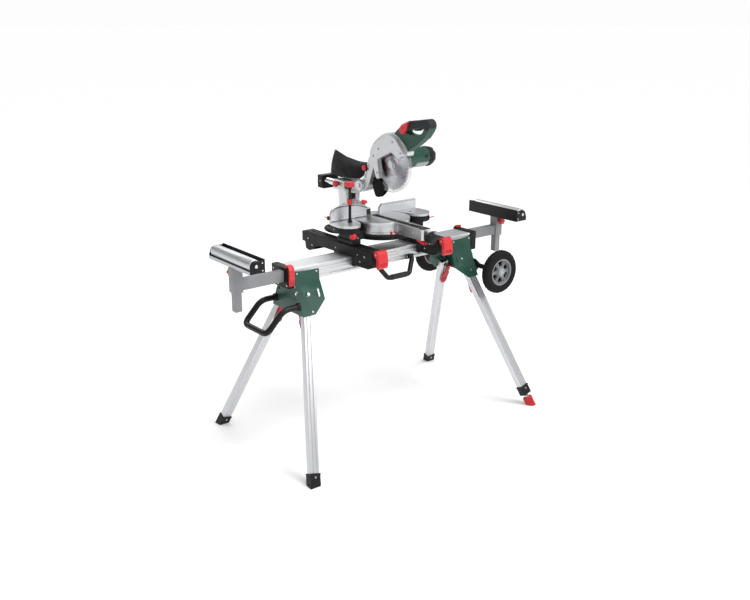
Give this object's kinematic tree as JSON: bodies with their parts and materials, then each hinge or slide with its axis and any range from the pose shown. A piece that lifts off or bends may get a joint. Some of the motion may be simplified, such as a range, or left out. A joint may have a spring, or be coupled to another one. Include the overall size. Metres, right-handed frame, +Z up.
{
  "type": "mitre saw on folding stand",
  "caption": "Sliding mitre saw clamped on a folding aluminium stand with splayed legs, transport wheels and roller-ended extension arms.",
  "frame": {"origin": "on the floor, under the middle of the object's bounding box, which is the middle of the beam", "axes": "+X along the beam towards the wheels, -Y towards the operator, +Z up"},
  "size_m": [1.517, 0.7804, 1.3794],
  "materials": {
    "aluminium": "extruded and brushed",
    "cast": "cast, satin",
    "green": "satin powder coat",
    "green_plastic": "fine grain",
    "black": "fine grain",
    "black_metal": "satin powder coat",
    "rubber": "matt",
    "red": "satin",
    "grey": "satin powder coat",
    "grey_plastic": "satin",
    "steel": "polished",
    "clear": "clear plastic",
    "fabric": "woven"
  },
  "bodies": {
    "stand": {"beam": "aluminium", "end_cap_left": "black", "end_cap_right": "black", "leg_bracket_left": "green", "leg_bracket_right": "green", "pull_handle": "black_metal", "carry_handle": "black_metal", "wheel_axle": "black_metal"},
    "leg_front_left": {"leg_front_left": "aluminium", "leg_boot_front_left": "black"},
    "release_front_left": {"leg_release_front_left": "red"},
    "leg_rear_left": {"leg_rear_left": "aluminium", "leg_boot_rear_left": "black"},
    "release_rear_left": {"leg_release_rear_left": "red"},
    "leg_front_right": {"leg_front_right": "aluminium", "leg_boot_front_right": "black"},
    "release_front_right": {"leg_release_front_right": "red"},
    "leg_rear_right": {"leg_rear_right": "aluminium", "leg_boot_rear_right": "black"},
    "release_rear_right": {"leg_release_rear_right": "red"},
    "leveller": {"levelling_foot": "red"},
    "extension_left": {"extension_arm_left": "grey"},
    "support_left": {"support_post_left": "aluminium"},
    "roller_left": {"roller_left": "aluminium"},
    "height_knob_left": {"height_knob_left": "red"},
    "arm_lever_left": {"arm_clamp_lever_left": "red"},
    "extension_right": {"extension_arm_right": "grey"},
    "support_right": {"support_post_right": "aluminium"},
    "roller_right": {"roller_right": "aluminium"},
    "height_knob_right": {"height_knob_right": "red"},
    "arm_lever_right": {"arm_clamp_lever_right": "red"},
    "tool_mount": {"tool_rail_left": "black_metal", "tool_rail_right": "black_metal", "saw_base": "cast"},
    "rail_lever_left": {"rail_lever_left": "red"},
    "rail_lever_right": {"rail_lever_right": "red"},
    "turntable": {"turntable": "cast", "table_insert": "black"},
    "mitre_knob": {"mitre_lock_knob": "black"},
    "mitre_latch": {"mitre_latch": "red"},
    "fence_left": {"fence_left": "aluminium"},
    "fence_right": {"fence_right": "aluminium"},
    "work_clamp": {"work_clamp": "black_metal"},
    "clamp_knob": {"work_clamp_knob": "red"},
    "column": {"bevel_column": "cast"},
    "bevel_lever": {"bevel_lock_lever": "black"},
    "slide": {"slide_rails": "steel"},
    "rail_knob": {"rail_lock_knob": "red"},
    "head": {"head_arm": "cast", "motor_housing": "green_plastic", "main_handle": "green_plastic", "dust_bag": "fabric"},
    "blade": {"blade": "steel"},
    "lower_guard": {"lower_guard": "clear"},
    "trigger": {"trigger": "black"},
    "trigger_lock": {"trigger_lock": "red"},
    "wheel_front": {"tyre_front": "rubber", "wheel_rim_front": "grey_plastic"},
    "wheel_rear": {"tyre_rear": "rubber", "wheel_rim_rear": "grey_plastic"}
  },
  "joints": [
    {"name": "leg_fold_front_left", "type": "hinge", "parent": "stand", "child": "leg_front_left", "pos_m": [-0.443, -0.06339, 0.67966], "axis": [0, -0.9135, 0.4067], "range_deg": [0, 104]},
    {"name": "leg_release_front_left", "type": "hinge", "parent": "stand", "child": "release_front_left", "pos_m": [-0.4735, -0.06536, 0.614], "axis": [1, 0, 0], "range_deg": [0, 15], "stiffness_Nm_per_rad": 0.3, "springref_deg": -17.19},
    {"name": "leg_fold_rear_left", "type": "hinge", "parent": "stand", "child": "leg_rear_left", "pos_m": [-0.443, 0.06339, 0.67966], "axis": [0, -0.9135, -0.4067], "range_deg": [0, 104]},
    {"name": "leg_release_rear_left", "type": "hinge", "parent": "stand", "child": "release_rear_left", "pos_m": [-0.4735, 0.06536, 0.614], "axis": [-1, 0, 0], "range_deg": [0, 15], "stiffness_Nm_per_rad": 0.3, "springref_deg": -17.19},
    {"name": "leg_fold_front_right", "type": "hinge", "parent": "stand", "child": "leg_front_right", "pos_m": [0.452, -0.08609, 0.62865], "axis": [0, 0.9135, -0.4067], "range_deg": [0, 104]},
    {"name": "leg_release_front_right", "type": "hinge", "parent": "stand", "child": "release_front_right", "pos_m": [0.4735, -0.06536, 0.614], "axis": [1, 0, 0], "range_deg": [0, 15], "stiffness_Nm_per_rad": 0.3, "springref_deg": -17.19},
    {"name": "leg_fold_rear_right", "type": "hinge", "parent": "stand", "child": "leg_rear_right", "pos_m": [0.452, 0.08609, 0.62865], "axis": [0, 0.9135, 0.4067], "range_deg": [0, 104]},
    {"name": "leg_release_rear_right", "type": "hinge", "parent": "stand", "child": "release_rear_right", "pos_m": [0.4735, 0.06536, 0.614], "axis": [-1, 0, 0], "range_deg": [0, 15], "stiffness_Nm_per_rad": 0.3, "springref_deg": -17.19},
    {"name": "leveller_screw", "type": "slide", "parent": "leg_front_right", "child": "leveller", "axis": [0.2419, -0.3947, -0.8864], "range_m": [0, 0.025]},
    {"name": "extension_slide_left", "type": "slide", "parent": "stand", "child": "extension_left", "axis": [-1, 0, 0], "range_m": [-0.17, 0.22]},
    {"name": "support_height_left", "type": "slide", "parent": "extension_left", "child": "support_left", "axis": [0, 0, 1], "range_m": [0, 0.1]},
    {"name": "roller_spin_left", "type": "hinge", "parent": "support_left", "child": "roller_left", "pos_m": [-0.727, 0, 0.87], "axis": [0, 1, 0], "continuous": true},
    {"name": "height_knob_turn_left", "type": "hinge", "parent": "extension_left", "child": "height_knob_left", "pos_m": [-0.738, 0.0003, 0.812], "axis": [0, 1, 0], "range_deg": [-180, 180]},
    {"name": "arm_lever_open_left", "type": "hinge", "parent": "stand", "child": "arm_lever_left", "pos_m": [-0.509, -0.0405, 0.8085], "axis": [-1, 0, 0], "range_deg": [0, 90]},
    {"name": "extension_slide_right", "type": "slide", "parent": "stand", "child": "extension_right", "axis": [1, 0, 0], "range_m": [-0.17, 0.22]},
    {"name": "support_height_right", "type": "slide", "parent": "extension_right", "child": "support_right", "axis": [0, 0, 1], "range_m": [0, 0.1]},
    {"name": "roller_spin_right", "type": "hinge", "parent": "support_right", "child": "roller_right", "pos_m": [0.727, 0, 0.87], "axis": [0, 1, 0], "continuous": true},
    {"name": "height_knob_turn_right", "type": "hinge", "parent": "extension_right", "child": "height_knob_right", "pos_m": [0.738, -0.0003, 0.812], "axis": [0, 1, 0], "range_deg": [-180, 180]},
    {"name": "arm_lever_open_right", "type": "hinge", "parent": "stand", "child": "arm_lever_right", "pos_m": [0.509, 0.0405, 0.8085], "axis": [1, 0, 0], "range_deg": [0, 90]},
    {"name": "tool_mount_slide", "type": "slide", "parent": "stand", "child": "tool_mount", "axis": [1, 0, 0], "range_m": [-0.12, 0.12]},
    {"name": "rail_lever_open_left", "type": "hinge", "parent": "tool_mount", "child": "rail_lever_left", "pos_m": [-0.17, -0.212, 0.838], "axis": [-1, 0, 0], "range_deg": [0, 75]},
    {"name": "rail_lever_open_right", "type": "hinge", "parent": "tool_mount", "child": "rail_lever_right", "pos_m": [0.19, -0.212, 0.838], "axis": [-1, 0, 0], "range_deg": [0, 75]},
    {"name": "mitre_turn", "type": "hinge", "parent": "tool_mount", "child": "turntable", "pos_m": [0.005, 0, 0.8803], "axis": [0, 0, 1], "range_deg": [-47, 47]},
    {"name": "mitre_knob_turn", "type": "hinge", "parent": "turntable", "child": "mitre_knob", "pos_m": [0.005, -0.3003, 0.898], "axis": [0, 1, 0], "range_deg": [-180, 180]},
    {"name": "mitre_latch_pull", "type": "hinge", "parent": "turntable", "child": "mitre_latch", "pos_m": [0.005, -0.252, 0.88], "axis": [-1, 0, 0], "range_deg": [0, 8], "stiffness_Nm_per_rad": 0.5, "springref_deg": -22.92},
    {"name": "fence_slide_left", "type": "slide", "parent": "tool_mount", "child": "fence_left", "axis": [-1, 0, 0], "range_m": [0, 0.06]},
    {"name": "fence_slide_right", "type": "slide", "parent": "tool_mount", "child": "fence_right", "axis": [1, 0, 0], "range_m": [0, 0.06]},
    {"name": "clamp_swivel", "type": "hinge", "parent": "tool_mount", "child": "work_clamp", "pos_m": [-0.163, 0.004, 0.9323], "axis": [0, 0, 1], "range_deg": [-60, 30]},
    {"name": "clamp_knob_turn", "type": "hinge", "parent": "work_clamp", "child": "clamp_knob", "pos_m": [-0.163, 0.004, 1.0703], "axis": [0, 0, 1], "range_deg": [-180, 180]},
    {"name": "bevel_tilt", "type": "hinge", "parent": "turntable", "child": "column", "pos_m": [0.005, 0.2, 0.932], "axis": [0, 1, 0], "range_deg": [-26, 1]},
    {"name": "bevel_lever_turn", "type": "hinge", "parent": "column", "child": "bevel_lever", "pos_m": [0.005, 0.2643, 0.952], "axis": [0, -1, 0], "range_deg": [0, 40]},
    {"name": "head_slide", "type": "slide", "parent": "column", "child": "slide", "axis": [0, -1, 0], "range_m": [-0.035, 0.08]},
    {"name": "rail_knob_turn", "type": "hinge", "parent": "column", "child": "rail_knob", "pos_m": [-0.0473, 0.245, 1.048], "axis": [1, 0, 0], "range_deg": [-180, 180]},
    {"name": "chop", "type": "hinge", "parent": "slide", "child": "head", "pos_m": [0.005, 0.1, 1.06], "axis": [1, 0, 0], "range_deg": [0, 42], "stiffness_Nm_per_rad": 25, "springref_deg": -51.57},
    {"name": "blade_spin", "type": "hinge", "parent": "head", "child": "blade", "pos_m": [0.005, -0.072, 1.17], "axis": [1, 0, 0], "continuous": true},
    {"name": "lower_guard_swing", "type": "hinge", "parent": "head", "child": "lower_guard", "pos_m": [0.005, -0.072, 1.17], "axis": [1, 0, 0], "range_deg": [-113, 0.5]},
    {"name": "trigger_pull", "type": "slide", "parent": "head", "child": "trigger", "axis": [0, 0.1569, 0.9876], "range_m": [0, 0.0035], "stiffness_N_per_m": 800, "springref_m": -0.003},
    {"name": "trigger_lock_press", "type": "hinge", "parent": "head", "child": "trigger_lock", "pos_m": [-0.0093, -0.168, 1.332], "axis": [1, 0, 0], "range_deg": [0, 12], "stiffness_Nm_per_rad": 0.2, "springref_deg": -11.46},
    {"name": "wheel_spin_front", "type": "hinge", "parent": "stand", "child": "wheel_front", "pos_m": [0.51, -0.232, 0.646], "axis": [0, 1, 0], "continuous": true},
    {"name": "wheel_spin_rear", "type": "hinge", "parent": "stand", "child": "wheel_rear", "pos_m": [0.51, 0.232, 0.646], "axis": [0, 1, 0], "continuous": true}
  ],
  "couplings": [
    {"joint": "lower_guard_swing", "follows": "chop", "ratio": -2.62}
  ]
}
